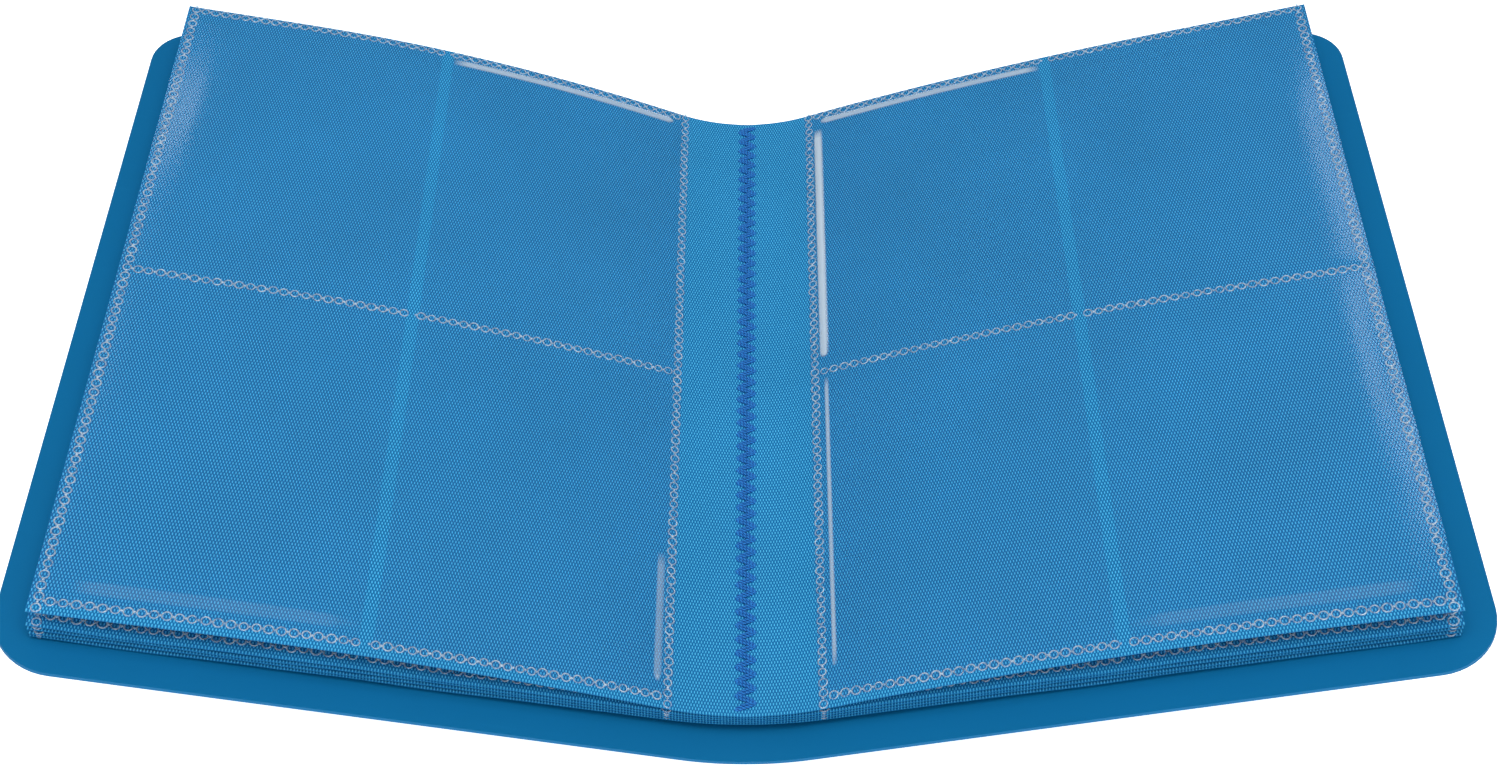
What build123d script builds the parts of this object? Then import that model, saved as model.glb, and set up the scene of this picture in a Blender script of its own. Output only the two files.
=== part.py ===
"""Trading card binder: a sewn booklet of woven sheets with clear pocket films inside a flexible cover.

Frame: millimetres, +Z up. The origin is on the underside of the spine, at the middle of its length, where the
open binder stands. +X runs from the spine towards the back cover, +Y towards the top of the pages.
The binder is half open: its spine panel is a shallow arc and each cover rises from it like a leaf of a V.
"""
from build123d import *
import os
from math import cos, degrees, radians, sin

# ---- cover sheet -------------------------------------------------------------------------------------------
cover_height = 205.0  # along the spine
cover_reach = 168.3  # from the spine's middle to the fore edge, measured along the inner face
cover_t = 1.2
cover_corner_r = 14.0
spine_bend_r = 55.0  # inner face of the bent middle part
cover_slope = 15.5  # degrees above level, both covers
spine_half = 6.0  # half width of the panel that stays put under the booklet
hinge_slot = 2.0  # part of the sheet that only flexes, left out between the panel and each cover

# ---- pocket sheets -----------------------------------------------------------------------------------------
sheet_count = 5
sheet_t = 0.35
film_t = 0.10
pocket_width = 67.8
pocket_height = 95.6
mouth_gap = 3.1  # bare strip between the two columns, where the pockets open
gutter_half = 18.3  # stitch line to the inner weld
weld_overlap = 1.2  # film that runs on past the inner weld
fore_margin = 2.0  # outer weld to the fore edge
head_margin = 0.8  # top weld to the top edge
tail_margin = 3.0  # bottom weld to the bottom edge
page_offset = 2.8  # the booklet sits this far above the middle of the cover
bend_length = 107.0  # crowned part of a leaf, measured from the inner weld

# ---- how the pile lies -------------------------------------------------------------------------------------
sheet_pitch = 0.9  # from one sheet to the next at the stitch
top_lean = (6.6, -1.6)  # degrees beyond the cover's slope, at the top leaf's inner weld and at its fore edge
second_lean = (1.0, -0.9)  # the same for the leaf under it, which lies well below
bottom_lean = (-1.0, -0.5)  # and for the lowest leaf

# ---- where the sheets are sewn and bend --------------------------------------------------------------------
fold_half = 3.5  # sewn part of each sheet, which stays with the spine
strip_start = 8.5  # stretch of each sheet that goes with the cover
leaf_hinge = 11.0  # line about which a leaf turns
hinge_clear = 0.3

# ---- binding strip and thread ------------------------------------------------------------------------------
binding_height = 3.225  # spine panel to the lowest sheet
binding_web = 4.4
binding_flange = 10.0
binding_flange_t = 0.8
binding_inset = 6.0  # the strip ends this far short of the sheets, at both ends
stitch_width = 5.7
stitch_pitch = 3.8
thread_d = 0.8
thread_slant = 1.6  # how much wider a slanting thread measures straight across the stitch line
thread_lift = 0.02  # above the fold where the stitch is widest, since the fold curves up there
stitch_end = 1.2  # bare length left at each end of the stitch line

# ---- sizes that follow -------------------------------------------------------------------------------------
page_height = 2 * pocket_height + head_margin + tail_margin
leaf_reach = gutter_half + 2 * pocket_width + mouth_gap + fore_margin
page_low = page_offset - page_height / 2
film_spans = (
    (gutter_half - weld_overlap, gutter_half + pocket_width),
    (gutter_half + pocket_width + mouth_gap, leaf_reach),
)


class Profile:
    """A curve in the XZ plane made of tangent stretches, each of constant curvature, measured from x = 0."""

    def __init__(self, z, stretches):
        self.stretches = []
        s, x, angle = 0.0, 0.0, 0.0
        for length, end in stretches:
            end = radians(end)
            self.stretches.append((s, x, z, angle, length, (end - angle) / length))
            x, z = self._along(self.stretches[-1], length)
            s += length
            angle = end

    @staticmethod
    def _along(stretch, d):
        """The point d along a stretch."""
        _, x, z, angle, _, curvature = stretch
        if abs(curvature) < 1e-9:
            return x + d * cos(angle), z + d * sin(angle)
        turned = angle + curvature * d
        return x + (sin(turned) - sin(angle)) / curvature, z - (cos(turned) - cos(angle)) / curvature

    def at(self, s, offset=0.0):
        """The point at distance s, moved offset along the upward normal."""
        stretch = [k for k in self.stretches if k[0] <= s + 1e-9][-1]
        d = s - stretch[0]
        x, z = self._along(stretch, d)
        angle = stretch[3] + stretch[5] * d
        return x - offset * sin(angle), z + offset * cos(angle)

    def band(self, s0, s1, low, high, y0, length):
        """A solid strip between s0 and s1, from offset low to offset high, and length long from y0."""
        cuts = [s0] + [k[0] for k in self.stretches if s0 + 1e-6 < k[0] < s1 - 1e-6] + [s1]
        spans = list(zip(cuts, cuts[1:]))

        def point(s, offset):
            x, z = self.at(s, offset)
            return (x, y0, z)

        def edge(a, b, offset):
            stretch = [k for k in self.stretches if k[0] <= min(a, b) + 1e-9][-1]
            if abs(stretch[5]) < 1e-9:
                return Line(point(a, offset), point(b, offset))
            return ThreePointArc(point(a, offset), point((a + b) / 2, offset), point(b, offset))

        edges = [edge(a, b, low) for a, b in spans]
        edges.append(Line(point(s1, low), point(s1, high)))
        edges += [edge(b, a, high) for a, b in reversed(spans)]
        edges.append(Line(point(s0, high), point(s0, low)))
        return extrude(Face(Wire(edges)), amount=length, dir=(0, 1, 0))


def cover_profile():
    """The inner face of the cover: the bent middle, then a flat board."""
    arc = spine_bend_r * radians(cover_slope)
    return Profile(cover_t, [(arc, cover_slope), (cover_reach - arc, cover_slope)])


def sheet_profile(number):
    """The middle surface of one sheet on the back cover's side. Sheet 1 is on top."""
    if number == 1:
        inner, outer = top_lean
    else:
        share = (number - 2) / (sheet_count - 2)
        inner, outer = (a + (b - a) * share for a, b in zip(second_lean, bottom_lean))
    z = cover_t + binding_height + sheet_t / 2 + (sheet_count - number) * sheet_pitch
    rest = leaf_reach - gutter_half - bend_length
    near, far = cover_slope + inner, cover_slope + outer
    return Profile(z, [(gutter_half, near), (bend_length, far), (rest, far)])


def both_ways(half):
    """A symmetric solid from its half on the +X side."""
    return half + mirror(half, about=Plane.YZ)


def spine_panel():
    """The middle of the cover sheet, under the booklet."""
    return both_ways(cover_profile().band(0, spine_half, -cover_t, 0, -cover_height / 2, cover_height))


def back_cover():
    """One cover: the rest of the bend and the flat board, with its two outer corners rounded."""
    start = spine_half + hinge_slot
    board = cover_profile().band(start, cover_reach, -cover_t, 0, -cover_height / 2, cover_height)
    end_x = cover_profile().at(cover_reach, -cover_t)[0]
    corners = [
        e
        for e in board.edges()
        if e.length < 1.5 * cover_t
        and e.center().X > end_x - cover_t
        and abs(e.center().Y) > cover_height / 2 - 1e-3
    ]
    return fillet(corners, cover_corner_r)


def binding_strip():
    """The strip bonded to the spine panel, through which the sheets are sewn."""
    length = page_height - 2 * binding_inset
    start = page_low + binding_inset
    flange = both_ways(cover_profile().band(0, binding_flange / 2, 0, binding_flange_t, start, length))
    low = cover_t + binding_flange_t / 2
    web_height = cover_t + binding_height - low
    web = Pos(0, page_offset, low + web_height / 2) * Box(binding_web, length, web_height)
    return flange + web


def zigzag_thread():
    """The zigzag stitch down the middle of the top sheet, as one flat thread."""
    length = page_height - 2 * stitch_end
    count = int(length // (stitch_pitch / 2))
    run = thread_slant * thread_d
    half = (stitch_width - run) / 2
    start = page_offset - count * stitch_pitch / 4
    points = [(half if i % 2 else -half, start + i * stitch_pitch / 2) for i in range(count + 1)]
    outline = [(x + run / 2, y) for x, y in points] + [(x - run / 2, y) for x, y in reversed(points)]
    z = sheet_profile(1).at(stitch_width / 2, sheet_t / 2)[1] + thread_lift
    return extrude(Pos(0, 0, z) * make_face(Polyline(*outline, close=True)), amount=thread_d)


def sheet_fold(number):
    """The sewn middle of a sheet."""
    half = sheet_profile(number).band(0, fold_half, -sheet_t / 2, sheet_t / 2, page_low, page_height)
    return both_ways(half)


def gutter_strip(number):
    """The bare stretch of a sheet that bends with the cover."""
    end = leaf_hinge - hinge_clear
    return sheet_profile(number).band(strip_start, end, -sheet_t / 2, sheet_t / 2, page_low, page_height)


def leaf_sheet(number):
    """The woven leaf, from its bend line to the fore edge."""
    start = leaf_hinge + hinge_clear
    return sheet_profile(number).band(start, leaf_reach, -sheet_t / 2, sheet_t / 2, page_low, page_height)


def pocket_films(number, side):
    """The two clear film panels of one face, side +1 for the upper face and -1 for the lower one."""
    low, high = sorted((side * sheet_t / 2, side * (sheet_t / 2 + film_t)))
    profile = sheet_profile(number)
    return Compound([profile.band(a, b, low, high, page_low, page_height) for a, b in film_spans])


def write(name, shape):
    """One STEP file for one named piece."""
    export_step(shape, f"parts/{name}.step")


def main():
    os.makedirs("parts", exist_ok=True)
    write("spine_panel", spine_panel())
    write("binding_strip", binding_strip())
    write("zigzag_thread", zigzag_thread())
    cover = back_cover()
    write("back_cover", cover)
    write("front_cover", mirror(cover, about=Plane.YZ))
    for number in range(1, sheet_count + 1):
        write(f"sheet_{number}_fold", sheet_fold(number))
        pieces = {
            "gutter": gutter_strip(number),
            "leaf": leaf_sheet(number),
            "upper_films": pocket_films(number, 1),
            "lower_films": pocket_films(number, -1),
        }
        for kind, shape in pieces.items():
            write(f"back_{kind}_{number}", shape)
            write(f"front_{kind}_{number}", mirror(shape, about=Plane.YZ))
    hinge = cover_profile().at(spine_half + hinge_slot / 2)
    print("cover hinge zone", [round(v, 3) for v in hinge])
    for number in range(1, sheet_count + 1):
        x, z = sheet_profile(number).at(leaf_hinge)
        print("leaf", number, "turns about x", round(x, 3), "z", round(z, 3))


if __name__ == "__main__":
    main()
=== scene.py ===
"""Looks of a half-open card album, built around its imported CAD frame.

The album is a wrap-round cover, a booklet of woven sheets sewn to its spine, and clear pocket films that are
welded to both faces of every leaf by rows of small rings. Everything is in metres, in the frame of the CAD model:
+X runs from the spine to the back cover, +Y to the top of the pages, +Z up out of the gutter.
"""

import logging
from dataclasses import dataclass, field
from enum import Enum
from math import cos, radians, sin
from typing import Callable, Iterable, Sequence

import bpy
import bmesh
import numpy as np
from mathutils import Matrix, Vector


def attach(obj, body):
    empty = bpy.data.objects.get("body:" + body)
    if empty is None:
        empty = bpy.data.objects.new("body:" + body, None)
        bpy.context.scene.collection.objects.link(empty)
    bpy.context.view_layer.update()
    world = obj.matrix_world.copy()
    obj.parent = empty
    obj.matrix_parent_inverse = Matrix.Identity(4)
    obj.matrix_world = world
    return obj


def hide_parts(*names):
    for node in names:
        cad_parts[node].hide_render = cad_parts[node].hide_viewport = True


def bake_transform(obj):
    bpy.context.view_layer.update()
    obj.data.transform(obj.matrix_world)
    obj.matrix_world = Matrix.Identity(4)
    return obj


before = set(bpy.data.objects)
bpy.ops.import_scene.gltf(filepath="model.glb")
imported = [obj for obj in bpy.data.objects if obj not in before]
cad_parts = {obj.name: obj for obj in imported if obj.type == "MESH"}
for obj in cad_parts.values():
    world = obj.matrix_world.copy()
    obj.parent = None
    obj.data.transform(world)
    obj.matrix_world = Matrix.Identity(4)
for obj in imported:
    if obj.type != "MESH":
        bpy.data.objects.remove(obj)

logging.basicConfig(level=logging.INFO, format="%(message)s")
log = logging.getLogger("album")

MM = 0.001
Array = np.ndarray
Piece = bpy.types.Object
Socket = bpy.types.NodeSocket
Surface = Callable[..., Array]
Colour = tuple[float, float, float]
Sockets = bpy.types.bpy_prop_collection


class Worded(Enum):
    """A choice that piece names mention."""

    @property
    def word(self) -> str:
        """The choice as it stands in piece names."""
        return self.name.lower()


class Side(Worded):
    """Which half of the album a piece is on; the value is the sign of its x."""

    FRONT = -1
    BACK = 1


class Face(Worded):
    """Which face of a leaf a film lies on; the value is the sign of its offset."""

    UPPER = 1
    LOWER = -1


class Column(Enum):
    """The two columns of pockets on a leaf."""

    INNER = 0
    OUTER = 1


class Slot(Enum):
    """Material slots of the record."""

    COVER = "cover"
    WEAVE = "weave"
    FILM = "film"
    THREAD = "thread"
    BINDING = "binding"


# ---- sizes -----------------------------------------------------------------------------------------------------


@dataclass(frozen=True)
class CoverSizes:
    """The cover sheet, measured along its inner face."""

    height: float = 205.0 * MM
    reach: float = 168.3 * MM
    thickness: float = 1.2 * MM
    corner: float = 14.0 * MM
    bend_radius: float = 55.0 * MM
    slope: float = 15.5
    edge_round: float = 0.3 * MM
    edge_fold: float = 60.0
    bend_start: float = 1.5 * MM
    bend_end: float = 13.0 * MM


@dataclass(frozen=True)
class PageSizes:
    """The sheets of the booklet, their pockets and how the pile lies."""

    count: int = 5
    thickness: float = 0.35 * MM
    pocket_width: float = 67.8 * MM
    pocket_height: float = 95.6 * MM
    mouth_gap: float = 3.1 * MM
    gutter_half: float = 18.3 * MM
    weld_overlap: float = 1.2 * MM
    fore_margin: float = 2.0 * MM
    head_margin: float = 0.8 * MM
    tail_margin: float = 3.0 * MM
    page_offset: float = 2.8 * MM
    bend_length: float = 107.0 * MM
    pitch: float = 0.9 * MM
    binding_height: float = 3.225 * MM
    top_slopes: tuple[float, float] = (22.1, 13.9)
    second_slopes: tuple[float, float] = (16.5, 14.6)
    bottom_slopes: tuple[float, float] = (14.5, 15.0)
    leaf_hinge: float = 11.0 * MM
    fold_start: float = 2.2 * MM
    leaf_bend: float = 5.5 * MM

    @property
    def height(self) -> float:
        """Height of a page."""
        return 2 * self.pocket_height + self.head_margin + self.tail_margin

    @property
    def reach(self) -> float:
        """From the stitch line to the fore edge, along the sheet."""
        return self.gutter_half + 2 * self.pocket_width + self.mouth_gap + self.fore_margin

    @property
    def low(self) -> float:
        """The bottom edge of a page."""
        return self.page_offset - self.height / 2

    @property
    def high(self) -> float:
        """The top edge of a page."""
        return self.page_offset + self.height / 2

    @property
    def tail_weld(self) -> float:
        """The weld along the bottom of the pockets."""
        return self.low + self.tail_margin

    @property
    def middle_weld(self) -> float:
        """The weld between the upper and the lower pockets."""
        return self.tail_weld + self.pocket_height

    @property
    def head_weld(self) -> float:
        """The weld along the top of the pockets."""
        return self.high - self.head_margin

    @property
    def fore_weld(self) -> float:
        """The weld along the fore edge."""
        return self.reach - self.fore_margin

    def column(self, column: Column) -> tuple[float, float]:
        """The two ends of a column of pockets, along the sheet."""
        if column is Column.INNER:
            return self.gutter_half, self.gutter_half + self.pocket_width
        return self.fore_weld - self.pocket_width, self.fore_weld


COVER = CoverSizes()
PAGE = PageSizes()


# ---- curves and meshes -----------------------------------------------------------------------------------------


class Profile:
    """A curve in the XZ plane made of tangent stretches of constant curvature, measured from x = 0."""

    def __init__(self, z: float, stretches: Iterable[tuple[float, float]]) -> None:
        """Lays the stretches end to end.

        Args:
            z: height of the curve at x = 0, where it is level.
            stretches: the length of each stretch and the slope in degrees at its far end.
        """
        self.stretches: list[tuple[float, float, float, float, float]] = []
        start, x, angle = 0.0, 0.0, 0.0
        for length, slope in stretches:
            end = radians(slope)
            stretch = (start, x, z, angle, (end - angle) / length)
            self.stretches.append(stretch)
            px, pz = self._along(stretch, np.array(length))
            x, z = float(px), float(pz)
            start, angle = start + length, end

    @staticmethod
    def _along(stretch: tuple[float, ...], d: Array) -> tuple[Array, Array]:
        """The point at distance d along one stretch."""
        _, x, z, angle, curvature = stretch
        if abs(curvature) < 1e-9:
            return x + d * cos(angle), z + d * sin(angle)
        turned = angle + curvature * d
        return x + (np.sin(turned) - sin(angle)) / curvature, z - (np.cos(turned) - cos(angle)) / curvature

    def at(self, s: Array, offset: Array | float = 0.0) -> tuple[Array, Array]:
        """Points at distances s, moved along the upward normal.

        Args:
            s: distances along the curve.
            offset: how far each point is moved along the upward normal.

        Returns:
            Their x and z.
        """
        s = np.asarray(s, float)
        x, z, angle = np.zeros_like(s), np.zeros_like(s), np.zeros_like(s)
        for stretch in self.stretches:
            here = s >= stretch[0] - 1e-9
            px, pz = self._along(stretch, s - stretch[0])
            x, z = np.where(here, px, x), np.where(here, pz, z)
            angle = np.where(here, stretch[3] + stretch[4] * (s - stretch[0]), angle)
        return x - offset * np.sin(angle), z + offset * np.cos(angle)


def cover_profile() -> Profile:
    """The inner face of the cover: a bent middle, then a flat board."""
    arc = COVER.bend_radius * radians(COVER.slope)
    return Profile(COVER.thickness, [(arc, COVER.slope), (COVER.reach - arc, COVER.slope)])


def sheet_profile(number: int) -> Profile:
    """The middle surface of one sheet, where sheet 1 is on top."""
    inner, outer = PAGE.top_slopes
    if number > 1:
        share = (number - 2) / (PAGE.count - 2)
        inner, outer = (a + (b - a) * share for a, b in zip(PAGE.second_slopes, PAGE.bottom_slopes))
    z = COVER.thickness + PAGE.binding_height + PAGE.thickness / 2 + (PAGE.count - number) * PAGE.pitch
    rest = PAGE.reach - PAGE.gutter_half - PAGE.bend_length
    return Profile(z, [(PAGE.gutter_half, inner), (PAGE.bend_length, outer), (rest, outer)])


def ramp(value: Array, start: float, end: float) -> Array:
    """A smooth step from 0 at start to 1 at end."""
    t = np.clip((value - start) / (end - start), 0, 1)
    return t * t * (3 - 2 * t)


def steps(*stops: float, step: float | Sequence[float]) -> Array:
    """Values from the first stop to the last one, evenly spaced between each two.

    Args:
        stops: values that are kept exactly.
        step: the widest spacing, or one for each stretch between two stops.

    Returns:
        The values in order.
    """
    widths = [step] * (len(stops) - 1) if isinstance(step, float) else list(step)
    made = [np.array([stops[0]])]
    for a, b, width in zip(stops, stops[1:], widths):
        made.append(np.linspace(a, b, max(1, int(np.ceil((b - a) / width - 1e-6))) + 1)[1:])
    return np.concatenate(made)


def nothing_selected() -> None:
    """Leaves object mode with nothing selected."""
    if bpy.context.object is not None and bpy.context.object.mode != "OBJECT":
        bpy.ops.object.mode_set(mode="OBJECT")
    bpy.ops.object.select_all(action="DESELECT")


def smooth(piece: Piece, angle: float = 35.0) -> None:
    """Shades a piece smooth, with creases where faces meet at more than the angle in degrees."""
    piece.data.polygons.foreach_set("use_smooth", [True] * len(piece.data.polygons))
    piece.data.set_sharp_from_angle(angle=radians(angle))
    piece.data.update()


def placed(name: str, data: bpy.types.ID) -> Piece:
    """A new object in the scene, at the origin."""
    made = bpy.data.objects.new(name, data)
    bpy.context.scene.collection.objects.link(made)
    return made


def mesh_piece(name: str, points: Array, faces: list, uv: Array | None = None) -> Piece:
    """A piece from plain points and faces.

    Args:
        name: the piece's name.
        points: an array of points, one row each.
        faces: tuples of point numbers, turned so that faces point outwards.
        uv: map places, one row for each point.

    Returns:
        The new object, at the origin.
    """
    mesh = bpy.data.meshes.new(name)
    mesh.from_pydata(points.tolist(), [], faces)
    if uv is not None:
        layer = mesh.uv_layers.new(name="flat")
        corners = np.zeros(len(mesh.loops), np.int32)
        mesh.loops.foreach_get("vertex_index", corners)
        layer.data.foreach_set("uv", uv[corners].astype(np.float32).ravel())
    mesh.update()
    return placed(name, mesh)


def slab_arrays(
    surface: Surface, s: Array, y: Array, low: Surface, high: Surface, sign: int
) -> tuple[Array, list, Array]:
    """A closed thin solid over a grid of distances s and heights y.

    Args:
        surface: gives points from s, y and an offset along the normal.
        s: grid values along the sheet.
        y: grid values up the page.
        low: gives the offset of the under side from s and y.
        high: gives the offset of the upper side from s and y.
        sign: +1 where s runs towards +X, and -1 where it runs towards -X.

    Returns:
        Points, faces and map places.
    """
    grid_s, grid_y = np.meshgrid(s, y, indexing="ij")
    rows, columns = grid_s.shape
    upper = surface(grid_s, grid_y, high(grid_s, grid_y)).reshape(-1, 3)
    under = surface(grid_s, grid_y, low(grid_s, grid_y)).reshape(-1, 3)
    count = rows * columns
    number = np.arange(count).reshape(rows, columns)
    quads = np.stack([number[:-1, :-1], number[1:, :-1], number[1:, 1:], number[:-1, 1:]], -1).reshape(-1, 4)
    rim = np.concatenate([number[:, 0], number[-1, 1:], number[-2::-1, -1], number[0, -2:0:-1]])
    after = np.roll(rim, -1)
    walls = np.stack([rim, rim + count, after + count, after], -1)
    faces = np.concatenate([quads, quads[:, ::-1] + count, walls])
    if sign < 0:
        faces = faces[:, ::-1]
    flat = np.stack([grid_s.ravel() * sign, grid_y.ravel()], -1)
    return np.concatenate([upper, under]), faces.tolist(), np.concatenate([flat, flat])


def joined(parts: Sequence[tuple[Array, list, Array]]) -> tuple[Array, list, Array]:
    """Several sets of points, faces and map places as one."""
    points, faces, flats, start = [], [], [], 0
    for p, f, uv in parts:
        points.append(p)
        flats.append(uv)
        faces += [tuple(k + start for k in face) for face in f]
        start += len(p)
    return np.concatenate(points), faces, np.concatenate(flats)


# ---- shader building blocks ------------------------------------------------------------------------------------


class Wiring:
    """Adds nodes to one node tree and joins their sockets."""

    def __init__(self, tree: bpy.types.NodeTree) -> None:
        """Starts with an existing tree."""
        self.tree = tree

    def set(self, socket: Socket, value: object) -> None:
        """Links a socket to another one, or gives it a plain value."""
        if isinstance(value, Socket):
            self.tree.links.new(value, socket)
        elif value is not None:
            socket.default_value = value

    def node(self, kind: str, settings: dict | None = None, **inputs: object) -> bpy.types.Node:
        """A new node.

        Args:
            kind: the node's type name, without its ShaderNode prefix.
            settings: properties of the node.
            inputs: values or sockets for its inputs, with _ for a space in their names.

        Returns:
            The node.
        """
        made = self.tree.nodes.new("ShaderNode" + kind)
        for name, value in (settings or {}).items():
            setattr(made, name, value)
        for name, value in inputs.items():
            self.set(made.inputs[name.replace("_", " ")], value)
        return made

    def math(self, operation: str, *values: object) -> Socket:
        """The result of a Math node."""
        made = self.node("Math", {"operation": operation})
        for socket, value in zip(made.inputs, values):
            self.set(socket, value)
        return made.outputs[0]

    def mix(self, factor: object, a: object, b: object) -> Socket:
        """A blend of two colours."""
        made = self.node("Mix", {"data_type": "RGBA"})
        for socket, value in zip((made.inputs[0], made.inputs[6], made.inputs[7]), (factor, a, b)):
            self.set(socket, value)
        return made.outputs[2]

    def scaled(self, colour: object, factor: object) -> Socket:
        """A colour times a factor."""
        made = self.node("VectorMath", {"operation": "SCALE"}, Scale=factor)
        self.set(made.inputs[0], colour)
        return made.outputs[0]

    def wave(self, kind: str, turns: object) -> Socket:
        """The sine or cosine of a number of whole turns."""
        return self.math(kind, self.math("MULTIPLY", turns, 2 * np.pi))

    def raised(self, value: object) -> Socket:
        """A value between -1 and 1, taken to between 0 and 1."""
        return self.math("MULTIPLY_ADD", value, 0.5, 0.5)

    def spread(self, value: object, start: float, end: float, low: float, high: float) -> Socket:
        """A value taken smoothly from one range to another."""
        made = self.node("MapRange", {"interpolation_type": "SMOOTHSTEP"}, Value=value)
        for name, number in (("From Min", start), ("From Max", end), ("To Min", low), ("To Max", high)):
            made.inputs[name].default_value = number
        return made.outputs[0]

    def skin(
        self, surface: Socket, height: object, strength: float, depth: float, **inputs: object
    ) -> None:
        """Ends a material in one plain shader with relief.

        Args:
            surface: the material's surface socket.
            height: the relief, from 0 to 1.
            strength: how strongly the relief shades.
            depth: how deep it is.
            inputs: the shader's other inputs.
        """
        bump = self.node("Bump", Height=height, Strength=strength, Distance=depth)
        self.set(surface, self.node("BsdfPrincipled", Normal=bump.outputs[0], **inputs).outputs[0])

    def either(self, share: object, first: bpy.types.Node, second: bpy.types.Node) -> bpy.types.Node:
        """Two shaders mixed, with a share for the second one."""
        made = self.node("MixShader", Fac=share)
        self.set(made.inputs[1], first.outputs[0])
        self.set(made.inputs[2], second.outputs[0])
        return made


def opaque(colour: Colour) -> tuple[float, float, float, float]:
    """A colour with full alpha, as sockets take it."""
    return (*colour, 1.0)


class Effects:
    """The shared shader groups, each made once."""

    def __init__(self) -> None:
        """Starts with no group made."""
        self.made: dict[str, bpy.types.NodeTree] = {}

    def _group(
        self, name: str, inputs: dict[str, float | None], outputs: Sequence[str]
    ) -> tuple[Wiring, Sockets, Sockets]:
        """A new group.

        Args:
            name: the group's name.
            inputs: input names with their starting values, and None for a vector.
            outputs: names of its value outputs.

        Returns:
            Its wiring, the sockets that come into it and those that leave it.
        """
        tree = bpy.data.node_groups.new(name, "ShaderNodeTree")
        for key, value in inputs.items():
            kind = "NodeSocketVector" if value is None else "NodeSocketFloat"
            socket = tree.interface.new_socket(key, in_out="INPUT", socket_type=kind)
            if value is not None:
                socket.default_value = value
        for key in outputs:
            tree.interface.new_socket(key, in_out="OUTPUT", socket_type="NodeSocketFloat")
        source, sink = (tree.nodes.new("NodeGroup" + end) for end in ("Input", "Output"))
        self.made[name] = tree
        return Wiring(tree), source.outputs, sink.inputs

    def use(self, w: Wiring, name: str, **inputs: object) -> bpy.types.Node:
        """Places a group in a tree, making it first where needed."""
        if name not in self.made:
            getattr(self, "_make_" + name)()
        made = w.tree.nodes.new("ShaderNodeGroup")
        made.node_tree = self.made[name]
        for key, value in inputs.items():
            w.set(made.inputs[key.replace("_", " ")], value)
        return made

    def _make_dot_weave(self) -> None:
        """Staggered dots where the fill threads come to the surface."""
        inputs = {"Map": None, "Across": 0.7, "Along": 1.7, "Wander": 0.06}
        w, source, sink = self._group("dot_weave", inputs, ["Dots", "Height"])
        drift = w.node("TexNoise", Vector=source["Map"], Scale=220.0, Detail=2.0)
        shift = w.math("MULTIPLY", w.math("SUBTRACT", drift.outputs["Fac"], 0.5), source["Wander"])
        parts = w.node("SeparateXYZ", Vector=source["Map"])
        waves = []
        for axis, pitch in (("X", "Across"), ("Y", "Along")):
            turns = w.math("ADD", w.math("DIVIDE", parts.outputs[axis], source[pitch]), shift)
            waves.append(w.wave("COSINE", turns))
        height = w.raised(w.math("MULTIPLY", *waves))
        w.set(sink["Height"], height)
        w.set(sink["Dots"], w.spread(height, 0.50, 0.80, 0.0, 1.0))

    def _make_mottle(self) -> None:
        """Soft uneven tone, near 1."""
        w, source, sink = self._group("mottle", {"Map": None, "Scale": 30.0, "Amount": 0.1}, ["Tone"])
        noise = w.node("TexNoise", Vector=source["Map"], Scale=source["Scale"], Detail=3.0)
        away = w.math("SUBTRACT", noise.outputs["Fac"], 0.5)
        w.set(sink["Tone"], w.math("MULTIPLY_ADD", away, source["Amount"], 1.0))

    def _make_fine_grain(self) -> None:
        """The fine grain of a matte moulded sheet, with rare scuffs."""
        w, source, sink = self._group("fine_grain", {"Map": None, "Grain": 4200.0, "Scuffs": 60.0}, ["Height", "Scuff"])
        noise = w.node("TexNoise", Vector=source["Map"], Scale=source["Grain"], Detail=2.0)
        w.set(sink["Height"], noise.outputs["Fac"])
        stretched = w.node("Mapping", Vector=source["Map"])
        stretched.inputs["Scale"].default_value = (1.0, 9.0, 1.0)
        patch = w.node("TexNoise", Vector=stretched.outputs[0], Scale=source["Scuffs"], Detail=4.0)
        w.set(sink["Scuff"], w.spread(patch.outputs["Fac"], 0.6, 0.8, 0.0, 1.0))

    def _make_twist(self) -> None:
        """The plies of a twisted thread, from its own length and round, with a mask of painted shade in the grooves
        between them.
        """
        w, source, sink = self._group("twist", {"Map": None, "Lay": 0.9, "Plies": 2.0}, ["Height", "Groove"])
        parts = w.node("SeparateXYZ", Vector=source["Map"])
        along = w.math("DIVIDE", parts.outputs["X"], source["Lay"])
        turns = w.math("ADD", along, w.math("MULTIPLY", parts.outputs["Y"], source["Plies"]))
        wave = w.raised(w.wave("COSINE", turns))
        w.set(sink["Height"], wave)
        w.set(sink["Groove"], w.spread(wave, 0.0, 0.45, 1.0, 0.0))

    def _make_tape_weave(self) -> None:
        """The over and under of a plain woven tape."""
        w, source, sink = self._group("tape_weave", {"Map": None, "Pitch": 0.0006}, ["Height"])
        parts = w.node("SeparateXYZ", Vector=source["Map"])
        level = w.math("ADD", parts.outputs["X"], parts.outputs["Z"])
        waves = []
        for value in (level, parts.outputs["Y"]):
            waves.append(w.wave("SINE", w.math("DIVIDE", value, source["Pitch"])))
        w.set(sink["Height"], w.raised(w.math("MULTIPLY", *waves)))


EFFECTS = Effects()


def new_material(name: str) -> tuple[bpy.types.Material, Wiring, Socket]:
    """An empty material.

    Args:
        name: its name.

    Returns:
        The material, its wiring and its surface socket.
    """
    material = bpy.data.materials.new(name)
    material.use_nodes = True
    material.node_tree.nodes.clear()
    w = Wiring(material.node_tree)
    output = w.tree.nodes.new("ShaderNodeOutputMaterial")
    return material, w, output.inputs["Surface"]


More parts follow.
